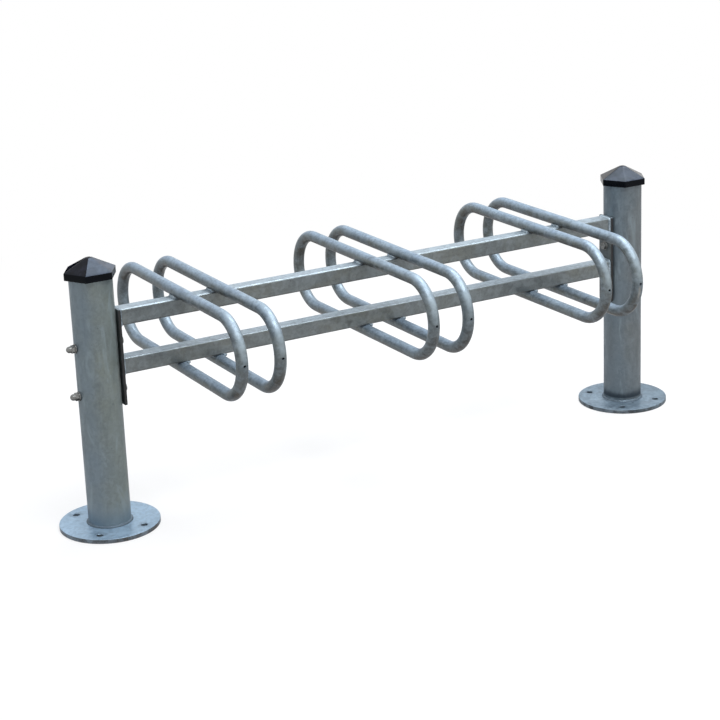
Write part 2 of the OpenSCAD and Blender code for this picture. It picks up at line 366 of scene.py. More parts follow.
def hole_stains(t, colour):
    """Marks of a flange: grey run-off stains in an uneven ring around each anchor hole."""
    uneven = 0.026
    ring = (0.0285, 0.0185)
    across = t.minus(t.size(t.minus(t.size(t.axis(0)), POST_X)), ANCHOR_X)
    along = t.minus(t.size(t.axis(1)), ANCHOR_Y)
    gap = t.math("SQRT", t.math("MULTIPLY_ADD", across, across, t.times(along, along)))
    gap = t.stirred(gap, t.noise(85.0, 3.0, 0.6), uneven)
    return t.mix(t.span(gap, *ring, 0.0, 0.34), colour, srgb(84, 98, 110))


def shaded_side(start, end, shade, strength):
    """Marks of a flange: stained holes, and a painted shade, greyer from start to end along X in soft
    patches.
    """
    uneven = 0.10

    def marks(t, colour):
        colour = hole_stains(t, colour)
        along = t.stirred(t.minus(t.axis(0), uneven / 2), t.noise(24.0, 3.0, 0.6), uneven)
        # Painted shade over one side of the flange
        return t.mix(t.span(along, start, end, 0.0, strength), colour, shade)
    return marks


def painted_ring_shade(low, high, shade, strength):
    """Marks of a foot weld: painted shade of the colour shade from the height low up to high."""
    def marks(t, colour):
        height = t.stirred(t.axis(2), t.noise(90.0, 2.0), 0.002)
        return t.mix(t.span(height, low, high, 0.0, strength), colour, shade)
    return marks


def zinc_weld(name):
    """Dipped weld metal: duller and rougher than the tube, with random dark patches and painted shade where
    it looks down.
    """
    t = material_tree(name)
    push = t.warped(0.004, 120.0)
    base = t.mix(t.span(t.noise(60.0, 3.0), 0.35, 0.65), srgb(124, 136, 145), srgb(156, 168, 176))
    base = t.mix(t.span(t.cells(320.0, 0.4, push), 0.3, 0.8, 0.0, 0.45), base, srgb(196, 208, 216))
    # Painted shade: faces that look down are darkened brownish
    base = t.mix(t.span(t.facing(2), -0.2, -0.9, 0.0, 0.6), base, srgb(66, 62, 58))
    base = t.mix(t.span(t.noise(140.0, 4.0, 0.6, 0.8), 0.60, 0.74, 0.0, 0.6), base, srgb(62, 64, 66))
    grain = t.noise(700.0, 4.0, 0.65)
    normal = t.bump(grain, 0.6, 0.00025)
    return t.shader(base, 0.55, t.span(grain, 0.3, 0.7, 0.40, 0.62), normal, 0.4, (0.6, 0.6, 0.6, 1))


def bright_steel(name):
    """Zinc-plated fasteners: fine tool marks, small dull spots and painted shade on their undersides."""
    t = material_tree(name)
    marks = t.noise(1.0, 3.0, 0.6, 0.0, t.stretch((2600, 240, 240)))
    spots = t.span(t.noise(260.0, 3.0, 0.6, 0.5), 0.56, 0.72)
    base = t.mix(t.span(marks, 0.3, 0.7), srgb(112, 112, 110), srgb(152, 152, 149))
    base = t.mix(t.times(spots, 0.6), base, srgb(70, 66, 60))
    # Painted shade: undersides darkened
    base = t.mix(t.span(t.facing(2), 0.2, -0.8, 0.0, 0.7), base, srgb(44, 42, 40))
    rough = t.math("MULTIPLY_ADD", spots, 0.22, t.span(marks, 0.3, 0.7, 0.26, 0.40))
    normal = t.bump(t.math("MULTIPLY_ADD", t.noise(480.0, 3.0), 0.6, marks), 0.4, 0.00012)
    return t.shader(base, 0.6, rough, normal, 0.4, (0.7, 0.7, 0.7, 1))


def black_plastic(name, lean, painted_sheen_range, sheen):
    """Moulded black plastic with a satin skin, a dusting that is also a painted sheen on the faces that
    look up, and a fine moulded grain.

    A lighter painted sheen lies where the surface leans towards lean, a direction in X and Y, rising
    between the two values of the argument after lean.
    The roof's gloss fades out at grazing angles between the two values sheen.
    """
    roof_gloss = 0.14
    skirt_gloss = 0.09
    t = material_tree(name)
    up = t.span(t.facing(2), 0.3, 0.8)
    cloud = t.noise(34.0, 4.0, 0.6, 0.6)
    # Partly dust and partly a painted sheen on the faces that look up
    dust_and_sheen = t.times(up, t.span(cloud, 0.40, 0.80, 0.0, 0.6))
    base = t.mix(t.span(t.noise(300.0, 2.0), 0.4, 0.7), srgb(4, 5, 9), srgb(8, 9, 14))
    base = t.mix(dust_and_sheen, base, srgb(38, 38, 52))
    # Painted sheen: a lighter bluish grey where the roof leans towards lean
    leaning = t.math("MULTIPLY_ADD", t.facing(0), lean[0], t.times(t.facing(1), lean[1]))
    painted_sheen = t.times(up, t.span(leaning, *painted_sheen_range))
    base = t.mix(t.times(painted_sheen, t.span(cloud, 0.30, 0.70, 0.5, 0.9)), base, srgb(76, 84, 97))
    scuffs = t.span(t.noise(1.0, 3.0, 0.7, 0.3, t.stretch((160, 900, 500))), 0.66, 0.76)
    base = t.mix(t.times(scuffs, 0.18), base, srgb(80, 84, 92))
    grain = t.noise(1500.0, 2.0, 0.5)
    rough = t.math("MULTIPLY_ADD", t.noise(90.0, 3.0), 0.14, 0.14)
    height = t.math("MULTIPLY_ADD", grain, 0.4, t.noise(70.0, 2.0))
    level = t.node("ShaderNodeLayerWeight")
    level.inputs["Blend"].default_value = 0.5
    gloss = t.times(t.span(level.outputs["Facing"], *sheen, 0.0, roof_gloss), up)
    gloss = t.math("ADD", gloss, t.span(up, 0.0, 0.6, skirt_gloss, 0.0))
    return t.shader(base, 0.0, rough, t.bump(height, 0.30, 0.0003), gloss, (0.80, 0.90, 1.0, 1))


# The materials of the rack
POST_ZINC = {
    "left": galvanised(
        "left_post_zinc", cool=srgb(118, 130, 135), warm=srgb(122, 130, 126), dark=srgb(80, 87, 90),
        pale=srgb(148, 158, 162), top=srgb(150, 160, 168), under=srgb(92, 88, 84),
        runs=(42, 42, 4.0), seed=2.0, streak=0.34, mottle=0.22,
        marks=two_sided(srgb(114, 130, 144), srgb(122, 129, 121), shadow_band=0.0, foot_light=0.55)),
    "right": galvanised(
        "right_post_zinc", cool=srgb(107, 118, 125), warm=srgb(111, 117, 119), dark=srgb(78, 83, 87),
        pale=srgb(138, 147, 152), top=srgb(140, 150, 158), under=srgb(88, 84, 82),
        runs=(42, 42, 4.0), seed=3.0, streak=0.34, mottle=0.22,
        marks=two_sided(srgb(108, 122, 132), srgb(105, 109, 110), shadow_band=0.85, foot_light=0.0)),
}
RAIL_ZINC = galvanised(
    "rail_zinc", cool=srgb(115, 121, 122), warm=srgb(118, 121, 116), dark=srgb(76, 80, 81),
    pale=srgb(150, 158, 161), top=srgb(176, 188, 197), under=srgb(84, 78, 72),
    runs=(7.0, 60, 60), seed=5.0, streak=0.26, mottle=0.26, top_highlight=0.9, stain=0.3)
PLATE_ZINC = galvanised(
    "plate_zinc", cool=srgb(92, 99, 103), warm=srgb(96, 99, 96), dark=srgb(60, 64, 65),
    pale=srgb(126, 134, 138), top=srgb(150, 160, 168), under=srgb(64, 60, 56),
    runs=(60, 60, 9.0), seed=6.0, streak=0.26, mottle=0.26, marks=painted_edge_shade)
HOOP_ZINC = galvanised(
    "hoop_zinc", cool=srgb(110, 121, 127), warm=srgb(113, 117, 112), dark=srgb(58, 62, 66),
    pale=srgb(158, 170, 178), top=srgb(146, 164, 183), under=srgb(68, 60, 48),
    runs=(60, 9.0, 60), seed=8.0, streak=0.40, mottle=0.27, metallic=0.30, rough=(0.30, 0.50), painted_shade=0.9,
    rise=(0.15, 0.95), stain=0.48, marks=hoop_marks)
# The flange tops take the colour top in full, a pale bluish painted highlight; the right flange's is
# dimmer, a copy with less painted light
FLANGE_ZINC = {
    "left": galvanised(
        "left_flange_zinc", cool=srgb(72, 76, 78), warm=srgb(74, 70, 66), dark=srgb(112, 128, 142),
        pale=srgb(182, 202, 220), top=srgb(164, 188, 208), under=srgb(80, 72, 64),
        runs=(26, 26, 26), seed=11.0, streak=0.34, mottle=0.24, top_highlight=1.0, stain=0.4, marks=hole_stains),
    "right": galvanised(
        "right_flange_zinc", cool=srgb(54, 58, 62), warm=srgb(56, 56, 54), dark=srgb(80, 92, 102),
        pale=srgb(160, 176, 188), top=srgb(134, 151, 165), under=srgb(80, 72, 64),
        runs=(34, 34, 34), seed=13.0, streak=0.5, mottle=0.30, top_highlight=1.0, stain=0.8,
        marks=shaded_side(0.55, 0.68, srgb(97, 111, 121), 0.65)),
}
# The foot welds carry painted shade: the left one towards its foot, the right one towards its top
FOOT_ZINC = {
    "left": galvanised(
        "left_foot_zinc", cool=srgb(102, 115, 124), warm=srgb(104, 114, 118), dark=srgb(78, 84, 88),
        pale=srgb(126, 137, 146), top=srgb(106, 120, 132), under=srgb(80, 72, 64),
        runs=(30, 30, 30), seed=12.0, streak=0.3, mottle=0.25, metallic=0.2, rough=(0.5, 0.7),
        marks=painted_ring_shade(0.0125, 0.0085, srgb(72, 84, 94), 0.85)),
    "right": galvanised(
        "right_foot_zinc", cool=srgb(104, 117, 128), warm=srgb(106, 116, 124), dark=srgb(62, 69, 76),
        pale=srgb(120, 132, 142), top=srgb(112, 126, 138), under=srgb(80, 72, 64),
        runs=(30, 30, 30), seed=14.0, streak=0.3, mottle=0.3,
        marks=painted_ring_shade(0.0080, 0.0105, srgb(92, 104, 114), 0.5)),
}
WELD_ZINC = zinc_weld("weld_zinc")
FASTENER = bright_steel("fastener_steel")
# The two caps differ in where their painted sheen lies and in how their gloss fades
PLASTIC = {
    "left": black_plastic(
        "left_cap_plastic", lean=(0.5, -0.866), painted_sheen_range=(0.20, 0.38), sheen=(0.85, 0.76)),
    "right": black_plastic(
        "right_cap_plastic", lean=(-0.26, -0.966), painted_sheen_range=(-0.10, 0.85), sheen=(0.97, 0.92)),
}


# Mesh helpers: a part is a pair of points in metres and faces
def new_mesh(name, part):
    mesh = bpy.data.meshes.new(name)
    mesh.from_pydata(np.asarray(part[0]).tolist(), [], part[1])
    return mesh


def new_object(name, data):
    obj = bpy.data.objects.new(name, data)
    bpy.context.scene.collection.objects.link(obj)
    return obj


def add_piece(name, parts, material, stands_for, sharp=SHARP_STEEL):
    """One mesh object from several closed parts, in place of the CAD nodes stands_for."""
    points = []
    faces = []
    start = 0
    for part_points, part_faces in parts:
        points.append(np.asarray(part_points, float).reshape(-1, 3))
        faces += [tuple(i + start for i in face) for face in part_faces]
        start += len(points[-1])
    mesh = new_mesh(name, (np.concatenate(points), faces))
    mesh.validate()
    work = bmesh.new()
    work.from_mesh(mesh)
    bmesh.ops.recalc_face_normals(work, faces=work.faces[:])
    work.to_mesh(mesh)
    work.free()
    mesh.polygons.foreach_set("use_smooth", [True] * len(mesh.polygons))
    mesh.set_sharp_from_angle(angle=math.radians(sharp))
    mesh.materials.append(material)
    obj = new_object(name, mesh)
    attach(obj, "root")
    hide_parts(*stands_for)


def skin(rings, closed, capped=True):
    """Quads between rings of equal length.

    closed joins the last ring to the first; otherwise capped closes both ends.
    """
    rings = np.asarray(rings, float)
    count, size = rings.shape[:2]
    faces = []
    for i in range(count if closed else count - 1):
        a = i * size
        b = (i + 1) % count * size
        for j in range(size):
            k = (j + 1) % size
            faces.append((a + j, a + k, b + k, b + j))
    if not closed and capped:
        faces.append(tuple(reversed(range(size))))
        faces.append(tuple(range((count - 1) * size, count * size)))
    return rings.reshape(-1, 3), faces


def turned(part, matrix):
    """The part moved by the matrix; a mirrored one gets its faces the right way round again."""
    m = np.array(matrix)
    points = np.asarray(part[0], float) @ m[:3, :3].T + m[:3, 3]
    faces = part[1]
    if np.linalg.det(m[:3, :3]) < 0:
        faces = [tuple(reversed(f)) for f in faces]
    return points, faces


def placed(x=0.0, y=0.0, z=0.0, turn=0.0, axis="Z", flip=False):
    """A matrix that turns about an axis and moves; flip mirrors all that to the right half of the rack."""
    m = Matrix.Translation((x, y, z)) @ Matrix.Rotation(turn, 4, axis)
    return Matrix.Scale(-1, 4, (1, 0, 0)) @ m if flip else m


def circle_ring(radius, z, count):
    a = np.arange(count) * TAU / count
    return np.stack([radius * np.cos(a), radius * np.sin(a), np.full(count, z)], 1)


def circle_rings(profile, count):
    return [circle_ring(max(r, POINT_R), z, count) for r, z in profile]


def drilled(part, cutters):
    """The part less its cutters, with exact booleans."""
    body = new_object("work_body", new_mesh("work_body", part))
    tools = [new_object(f"work_tool_{i}", new_mesh(f"work_tool_{i}", c)) for i, c in enumerate(cutters)]
    for tool in tools:
        modifier = body.modifiers.new(tool.name, "BOOLEAN")
        modifier.operation = "DIFFERENCE"
        modifier.solver = "EXACT"
        modifier.object = tool
    graph = bpy.context.evaluated_depsgraph_get()
    result = bpy.data.meshes.new_from_object(body.evaluated_get(graph))
    points = np.array([v.co[:] for v in result.vertices])
    faces = [tuple(p.vertices) for p in result.polygons]
    for obj in [body] + tools:
        mesh = obj.data
        bpy.data.objects.remove(obj)
        bpy.data.meshes.remove(mesh)
    bpy.data.meshes.remove(result)
    return points, faces


def hole_cutter(radius, depth, chamfer, over, count):
    """Cutter for a through hole along +Z from 0 to depth, flared at both faces."""
    flare = radius + chamfer + over
    profile = [(flare, -over), (radius, chamfer), (radius, depth - chamfer), (flare, depth + over)]
    return skin(circle_rings(profile, count), False)


def wander(count, size, waves, closed):
    """Smooth random values, one per station, from a few seeded waves; closed ones meet end to end."""
    open_rate = 0.61
    s = np.arange(count) / count * TAU
    total = np.zeros(count)
    for k in range(1, waves + 1):
        rate = k if closed else k * open_rate
        total += rng.normal() * np.sin(rate * s + rng.uniform(0, TAU)) / k ** 0.5
    return size * total / waves ** 0.5


def bead(corner, u, v, leg_u, leg_v, pitch, step, bulge, ripple):
    """Weld fillet along a closed path of corner points; u and v lead out along the two joined faces."""
    sink = 0.4 * MM
    samples = 9
    count = len(corner)
    t = np.linspace(0, 1, samples) * math.pi / 2
    lean_u = np.cos(t) ** bulge
    lean_v = np.sin(t) ** bulge
    bow = ((np.arange(samples) / (samples - 1) - 0.5) * 2) ** 2
    phase_jitter = wander(count, 0.35, 6, True)
    rings = []
    for i in range(count):
        phase = i * step / pitch + phase_jitter[i] - 0.45 * (1 - bow)
        wave = 0.5 - 0.5 * np.cos(TAU * phase)
        swell = ripple * (wave ** 1.5) * (1 - 0.55 * bow)
        out = (u[i] + v[i]) / np.linalg.norm(u[i] + v[i])
        face = corner[i] + np.outer(lean_u * leg_u[i], u[i]) + np.outer(lean_v * leg_v[i], v[i])
        face = face + np.outer(swell, out)
        first = face[0] - v[i] * sink
        last = face[-1] - u[i] * sink
        root = corner[i] - (u[i] + v[i]) * sink
        rings.append(np.vstack([first, face, last, root]))
    return skin(rings, True)


# Base flanges and foot welds
def flange_part():
    """Flange with worn edges and four chamfered anchor holes, standing on z = 0 about the origin."""
    edge = 1.0 * MM
    foot_edge = edge * 0.6
    arc = 5
    under_ring = 40 * MM
    top_rings_mm = (80, 62, 45, 20, 0)
    profile = [(0, 0), (under_ring, 0), (FLANGE_R - foot_edge, 0), (FLANGE_R, foot_edge)]
    for k in range(arc + 1):
        a = k / arc * math.pi / 2
        profile.append((FLANGE_R - edge + edge * math.cos(a), FLANGE_T - edge + edge * math.sin(a)))
    profile += [(r * MM, FLANGE_T) for r in top_rings_mm]
    cutter = hole_cutter(ANCHOR_HOLE_R, FLANGE_T, chamfer=0.7 * MM, over=2 * MM, count=48)
    cutters = [turned(cutter, placed(x * ANCHOR_X, y * ANCHOR_Y)) for x in (-1, 1) for y in (-1, 1)]
    return drilled(skin(circle_rings(profile, FLANGE_SIDES), False), cutters)


def foot_weld_part():
    """Weld ring round the foot of a post that stands about the origin."""
    ripples = 92
    low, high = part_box("left_foot_weld")
    leg = (high.z - low.z) * 0.98
    around = TAU * POST_R
    count = int(around / WELD_STEP)
    a = np.arange(count) * TAU / count
    out = np.stack([np.cos(a), np.sin(a), np.zeros(count)], 1)
    up = np.tile([0.0, 0, 1], (count, 1))
    corner = out * POST_R + up * FLANGE_T
    leg_u = leg + wander(count, 0.45 * MM, 7, True)
    leg_v = leg + wander(count, 0.55 * MM, 7, True)
    pitch = around / ripples
    step = around / count
    return bead(corner, out, up, leg_u, leg_v, pitch, step, bulge=1.35, ripple=0.16 * MM)


# Caps
def hexagon_ring(apothem, z, corner_r):
    """Hexagon with rounded corners, the first corner on the X axis; all rings have as many points."""
    arc = 8
    edge = 4
    corner_r = min(corner_r, apothem * 0.98)
    middle = (apothem - corner_r) / math.cos(math.pi / 6)

    def on_corner(corner, a):
        """The point at the angle a on the arc of the corner at the angle corner."""
        x = middle * math.cos(corner) + corner_r * math.cos(a)
        y = middle * math.sin(corner) + corner_r * math.sin(a)
        return np.array([x, y])

    points = []
    for k in range(6):
        corner = k * math.pi / 3
        points += [on_corner(corner, corner - math.pi / 6 + i / arc * math.pi / 3) for i in range(arc + 1)]
        start = points[-1]
        end = on_corner(corner + math.pi / 3, corner + math.pi / 6)
        points += [start + (end - start) * i / edge for i in range(1, edge)]
    return np.column_stack([np.array(points), np.full(len(points), z)])


def matching_circle(radius, z, like):
    """Points of a circle, each at the same angle as its partner in the ring like."""
    a = np.arctan2(like[:, 1], like[:, 0])
    return np.column_stack([radius * np.cos(a), radius * np.sin(a), np.full(len(a), z)])


def cap_part():
    """Hexagonal cap about the origin: skirt, blunt roof, seat on the post's end and sleeve in the post."""
    low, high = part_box("left_cap")
    apothem = (high.y - low.y) / 2
    bottom = POST_TOP - CAP_LAP
    eaves = bottom + CAP_SKIRT
    slope = (high.z - eaves) / (apothem - CAP_TIP_R * math.cos(math.pi / 6))
    tilt = math.atan(slope)
    corner = 1.6 * MM
    corner_growth = 0.9 * MM
    foot_round = 0.9 * MM
    eaves_round = 1.5 * MM
    skirt_ring = bottom + 5 * MM
    shoulder = eaves - 1.4 * MM
    roof_end_r = 6.2 * MM
    rings = []

    def hexa(inset, z, r=corner):
        rings.append(hexagon_ring(apothem - inset, z, r))

    for k in range(4):
        a = k / 3 * math.pi / 2
        hexa(foot_round * (1 - math.sin(a)), bottom + foot_round * (1 - math.cos(a)))
    hexa(0.0, skirt_ring)
    hexa(0.0, shoulder)
    for k in range(1, 6):
        a = (math.pi / 2 - tilt) * k / 5
        hexa(eaves_round * (1 - math.cos(a)), shoulder + eaves_round * math.sin(a))
    start_inset = eaves_round * (1 - math.cos(math.pi / 2 - tilt))
    start_z = shoulder + eaves_round * math.sin(math.pi / 2 - tilt)
    end_inset = apothem - roof_end_r
    roof_rings = 8
    for k in range(1, roof_rings + 1):
        inset = start_inset + (end_inset - start_inset) * k / roof_rings
        hexa(inset, start_z + (inset - start_inset) * slope, corner + corner_growth * k / roof_rings)
    tip_foot = start_z + (end_inset - start_inset) * slope
    tip_steps_mm = ((5.2, 0.42), (4.1, 0.80), (3.0, 1.08), (1.8, 1.26), (0.6, 1.33))
    for r, rise in tip_steps_mm:
        hexa(apothem - r * MM, tip_foot + rise * MM, r * MM)
    ceiling = POST_TOP + 0.6 * MM
    sleeve_foot = POST_TOP - SLEEVE_DEPTH
    inner = [
        (0.2 * MM, ceiling), (SLEEVE_BORE_R, ceiling), (SLEEVE_BORE_R, sleeve_foot),
        (SLEEVE_R - 1.3 * MM, sleeve_foot), (SLEEVE_R, sleeve_foot + 1.5 * MM), (SLEEVE_R, ceiling),
        (CAP_SEAT_R, ceiling), (CAP_SEAT_R, bottom + 0.6 * MM), (CAP_SEAT_R + 0.4 * MM, bottom)
    ]
    return skin([matching_circle(radius, z, rings[0]) for radius, z in inner] + rings, False)


# End plates and rail ends
def rounded_square(width, height, r, arc):
    """Outline in a plane, counted round from the lower right corner; arcs at the corners."""
    points = []
    for cx, cy, a0 in ((1, -1, -90), (1, 1, 0), (-1, 1, 90), (-1, -1, 180)):
        for k in range(arc + 1):
            a = math.radians(a0 + 90 * k / arc)
            x = cx * (width / 2 - r) + r * math.cos(a)
            y = cy * (height / 2 - r) + r * math.sin(a)
            points.append((x, y))
    return np.array(points)


def plate_part():
    """Left plate: flat bar upright in the YZ plane with worn edges and two bolt holes."""
    wide = 2 * PLATE_HALF
    tall = PLATE_TOP - PLATE_LOW
    thick = PLATE_IN - PLATE_OUT
    worn = 0.7 * MM
    soft = worn * 0.3
    steps = (
        (worn, 0), (soft, soft), (0, worn),
        (0, thick - worn), (soft, thick - soft), (worn, thick)
    )
    rings = []
    for inset, depth in steps:
        flat = rounded_square(wide - 2 * inset, tall - 2 * inset, PLATE_ROUND, 6)
        x = np.full(len(flat), PLATE_OUT + depth)
        rings.append(np.column_stack([x, flat[:, 0], flat[:, 1] + (PLATE_TOP + PLATE_LOW) / 2]))
    cutter = hole_cutter(BOLT_HOLE_R, thick, chamfer=0.3 * MM, over=1 * MM, count=32)
    cutters = [turned(cutter, placed(PLATE_OUT, 0, z, math.pi / 2, "Y")) for z in (UPPER_BOLT, LOWER_BOLT)]
    return drilled(skin(rings, False), cutters)


def rail_end_weld(top):
    """Bead round a rail's end on the left plate; it stays below the plate's top edge."""
    ripples = 44
    outline = rounded_square(RAIL, RAIL, RAIL_ROUND, 8)
    path = np.vstack([outline, outline[:1]])
    lengths = np.concatenate([[0], np.cumsum(np.linalg.norm(np.diff(path, axis=0), axis=1))])
    around = lengths[-1]
    count = int(around / WELD_STEP)
    s = np.arange(count) / count * around
    y = np.interp(s, lengths, path[:, 0])
    z = np.interp(s, lengths, path[:, 1])
    tangent = np.stack([np.roll(y, -1) - np.roll(y, 1), np.roll(z, -1) - np.roll(z, 1)], 1)
    tangent /= np.linalg.norm(tangent, axis=1)[:, None]
    away = np.stack([np.zeros(count), tangent[:, 1], -tangent[:, 0]], 1)
    inward = np.tile([1.0, 0, 0], (count, 1))
    corner = np.stack([np.full(count, PLATE_IN), y, z + top - RAIL / 2], 1)
    leg_plate = 3.2 * MM + wander(count, 0.25 * MM, 6, True)
    if top + leg_plate.max() > PLATE_TOP:
        room = PLATE_TOP - top - 0.1 * MM
        upward = np.clip(away[:, 2], 0, 1) ** 2
        leg_plate = leg_plate * (1 - upward) + room * upward
    leg_rail = 3.3 * MM + wander(count, 0.3 * MM, 6, True)
    pitch = around / ripples
    step = around / count
    return bead(corner, away, inward, leg_plate, leg_rail, pitch, step, bulge=1.3, ripple=0.24 * MM)


# Hoop welds
def edge_drop(reach):
    """How far a rail's rounded edge lies below its flat face, at the distance reach from the middle."""
    over = min(reach - (RAIL / 2 - RAIL_ROUND), RAIL_ROUND)
    if over <= 0:
        return 0.0
    return RAIL_ROUND - math.sqrt(RAIL_ROUND ** 2 - over ** 2)


def hoop_bead(x, side, plane, up, length, full):
    """Bead in the notch between a hoop's tube and a rail's flat face at the height plane.

    side is -1 or +1 for the tube's side, up is +1 over the upper rail and -1 under the lower one, and full
    scales how far the notch is filled. The toe lies on the rail, and the bead climbs the tube by an angle.
    """
    toe_start = 5.2
    toe_growth = 5.6
    climb_start = 26
    climb_growth = 26
    step = 0.4 * MM
    pitch = 2.3 * MM
    run_out = 2.4 * MM
    crown = 0.75 * MM
    ripple = 0.26 * MM
    samples = 9
    count = int(length / step)
    y = (np.arange(count) / (count - 1) - 0.5) * length
    shift = wander(count, 0.5 * MM, 4, False)
    heave = wander(count, 0.05, 4, False)
    jitter = wander(count, 0.3, 4, False)
    q = np.arange(samples) / (samples - 1)
    bow = (2 * q - 1) ** 2
    rings = []
    for i in range(count):
        end = min(1.0, (0.35 + min(i, count - 1 - i)) * step / run_out)
        fill = full * math.sqrt(max(0.02, 1 - (1 - end) ** 2))
        toe = (toe_start + toe_growth * fill) * MM + shift[i] * fill
        angle = math.radians(climb_start + climb_growth * fill) + heave[i] * fill
        drop = edge_drop(abs(y[i]))
        a = np.array([toe, -drop])
        b = np.array([HOOP_R * math.sin(angle), HOOP_R * (1 - math.cos(angle))])
        chord = b - a
        out = np.array([chord[1], -chord[0]]) / np.linalg.norm(chord)
        phase = i * step / pitch + jitter[i] - 0.4 * (1 - bow)
        wave = 0.5 - 0.5 * np.cos(TAU * phase)
        swell = crown * fill * (1 - bow) + ripple * fill * wave * (1 - 0.5 * bow)
        face = a + np.outer(q, chord) + np.outer(swell, out)
        root = np.array([0.4 * MM, -drop * 0.5 - 0.3 * MM])
        outline = np.vstack([a - [0.2 * MM, 0.5 * MM], face, b * [0.93, 1.0], root])
        along = np.full(len(outline), y[i])
        rings.append(np.stack([x + side * outline[:, 0], along, plane + up * outline[:, 1]], 1))
    return skin(rings, False)


def weld_blob(x, y, z, radii, seed_turn):
    """Rounded end drop of weld metal."""
    rows = 12
    sides = 20
    a = np.arange(sides) * TAU / sides
    rings = []
    for i in range(1, rows):
        t = i / rows * math.pi
        wob = 1 + 0.07 * np.sin(3 * a + seed_turn) * math.sin(t)
        rings.append(np.stack([
            x + radii[0] * math.sin(t) * np.cos(a) * wob,
            y + radii[1] * math.sin(t) * np.sin(a) * wob,
            z - radii[2] * math.cos(t) + np.zeros(sides)
        ], 1))
    return skin(rings, False)


# Fasteners
def hex_rings(height, base_chamfer=True):
    """Rings of a hexagon with the crowned chamfer that turning leaves, from z = 0 up to its round land."""
    chamfer_tan = 0.55
    land = HEX_FLATS / 2 * 0.95
    a = np.arange(FASTENER_SIDES) * TAU / FASTENER_SIDES
    r = HEX_FLATS / 2 / np.cos((a + math.pi / 6) % (math.pi / 3) - math.pi / 6)
    crown = np.maximum(0, r - land) * chamfer_tan

    def ring(radius, z):
        return np.stack([radius * np.cos(a), radius * np.sin(a), z + np.zeros(len(a))], 1)

    if base_chamfer:
        rings = [ring(np.minimum(r, land), 0.0), ring(r, crown * 0.7)]
    else:
        rings = [ring(r, 0.0)]
    return rings + [ring(r, height - crown), ring(np.minimum(r, land), height)]


def bolt_part(node):
    """Head on +Z from 0, shank on -Z as long as the CAD node's."""
    point = 0.7 * MM
    centre_r = 0.05 * MM
    dish = BOLT_HEAD - 0.25 * MM
    low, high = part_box(node)
    shank = high.x - low.x - BOLT_HEAD - point
    tip = -shank - point
    below = [(centre_r, tip), (BOLT_R - point, tip), (BOLT_R, -shank), (BOLT_R, -0.1 * MM)]
    above = [(5.4 * MM, BOLT_HEAD), (5.0 * MM, dish), (centre_r, dish)]
    rings = circle_rings(below, FASTENER_SIDES) + hex_rings(BOLT_HEAD, base_chamfer=False)
    return skin(rings + circle_rings(above, FASTENER_SIDES), False)


def dome_nut_part():
    """Hexagon from z = 0, then a neck and a dome, with a blind thread hole."""
    dome = 5.8 * MM
    top = DOME_NUT_HEIGHT
    bore = [(0.05 * MM, 10.4 * MM), (THREAD_R, 10.1 * MM), (THREAD_R, 0.6 * MM), (THREAD_MOUTH_R, 0.0)]
    outside = [(6.05 * MM, 6.55 * MM), (5.85 * MM, 6.8 * MM)]
    for k in range(13):
        t = k / 12.5 * math.pi / 2
        outside.append((dome * math.cos(t), top - dome + dome * math.sin(t)))
    rings = circle_rings(bore, FASTENER_SIDES) + hex_rings(NUT_HEIGHT)
    return skin(rings + circle_rings(outside, FASTENER_SIDES), False)


def bore_nut_part():
    """Plain nut inside the right post, from z = 0."""
    bore = [(THREAD_R, NUT_HEIGHT - 0.6 * MM), (THREAD_R, 0.6 * MM), (THREAD_MOUTH_R, 0)]
    rings = circle_rings(bore, FASTENER_SIDES) + hex_rings(NUT_HEIGHT)
    return skin(rings + circle_rings([(THREAD_MOUTH_R, NUT_HEIGHT)], FASTENER_SIDES), True)


def washer_part():
    """Stamped washer from z = 0, with a rolled rim on top and a sharper one below."""
    profile = [
        (THREAD_R, 0), (WASHER_R - 0.3 * MM, 0), (WASHER_R, 0.25 * MM), (WASHER_R, WASHER_T - 0.45 * MM),
        (WASHER_R - 0.12 * MM, WASHER_T - 0.15 * MM), (WASHER_R - 0.4 * MM, WASHER_T),
        (THREAD_R + 0.3 * MM, WASHER_T), (THREAD_R, WASHER_T - 0.3 * MM)
    ]
    return skin(circle_rings(profile, WASHER_SIDES), True)


# The CAD nodes that stay get their finish
def finish_nodes(names, material):
    for name in names:
        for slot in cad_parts[name].material_slots:
            slot.material = material


for side in ("left", "right"):
    finish_nodes([f"{side}_post"], POST_ZINC[side])
finish_nodes(["upper_rail", "lower_rail"], RAIL_ZINC)
finish_nodes([f"hoop_{n}" for n in range(1, 7)], HOOP_ZINC)

# The pieces that replace the other CAD nodes
flange = flange_part()
cap = cap_part()
plate = plate_part()
washer = washer_part()
NUTS = {"left": ("dome_nut", dome_nut_part()), "right": ("bore_nut", bore_nut_part())}


def add_steelwork(side, flip):
    """Flange, foot weld, cap, end plate and rail end welds of one side; the right side is mirrored."""
    at_post = placed(-POST_X, flip=flip)
    mirror = placed(flip=flip)
    add_piece(
        f"{side}_flange_plate", [turned(flange, at_post)], FLANGE_ZINC[side],
        [f"{side}_base_flange"])
    add_piece(
        f"{side}_foot_bead", [turned(foot_weld_part(), at_post)], FOOT_ZINC[side],
        [f"{side}_foot_weld"], SHARP_WELD)
    add_piece(
        f"{side}_cap_moulding", [turned(cap, at_post)], PLASTIC[side],
        [f"{side}_cap"], SHARP_MOULDING)
    add_piece(
        f"{side}_plate_bar", [turned(plate, mirror)], PLATE_ZINC,
        [f"{side}_end_plate"])
    ends = [turned(rail_end_weld(top), mirror) for top in (UPPER_TOP, LOWER_TOP)]
    add_piece(
        f"{side}_rail_beads", ends, WELD_ZINC,
        [f"{side}_rail_welds"], SHARP_WELD)


